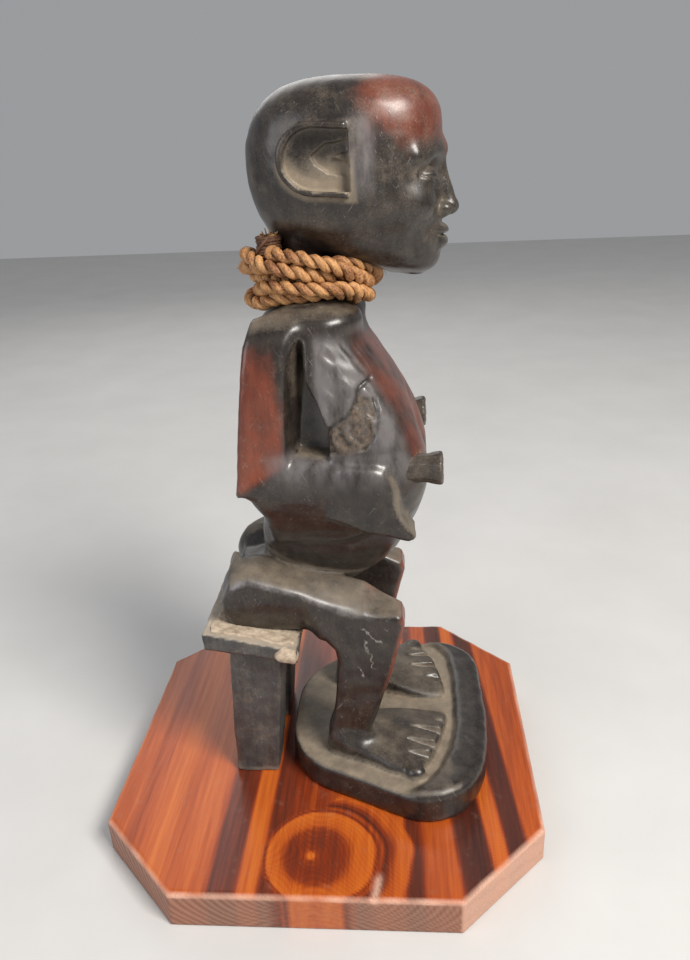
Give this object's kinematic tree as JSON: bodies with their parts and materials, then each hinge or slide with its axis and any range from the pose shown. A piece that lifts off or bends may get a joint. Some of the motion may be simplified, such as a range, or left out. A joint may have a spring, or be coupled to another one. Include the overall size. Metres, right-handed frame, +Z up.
{
  "type": "carved ancestor figure",
  "caption": "Seated hardwood ancestor figure on a small stool, with a twisted cord necklace, screwed to a bevel-cornered pine display board.",
  "frame": {"origin": "centre of the board's underside", "axes": "+Z up, +X the way the figure faces, +Y to its left"},
  "size_m": [0.14, 0.14, 0.228],
  "materials": {
    "stained_pine": "red-brown stain under clear gloss varnish",
    "polished_ebony": "polished dark hardwood with red-brown sapwood streaks and dust in the recesses",
    "dusty_ebony": "oiled dark hardwood, dull and dusty",
    "peg_ebony": "cut dark hardwood, satin",
    "old_glue": "dried grey-tan glue, matt",
    "screw_steel": "plain zinc-plated steel",
    "plant_fibre": "two-ply twisted plant fibre, golden brown",
    "dark_fibre": "dark brown fibre lashing"
  },
  "bodies": {
    "root": {"base_board": "stained_pine", "figure": "polished_ebony", "stool": "dusty_ebony", "seat_glue": "old_glue", "breast_peg_right": "peg_ebony", "breast_peg_left": "peg_ebony", "plate_screws": "screw_steel", "stool_screws": "screw_steel", "necklace_cord": "plant_fibre", "end_binding": "dark_fibre"}
  },
  "joints": []
}
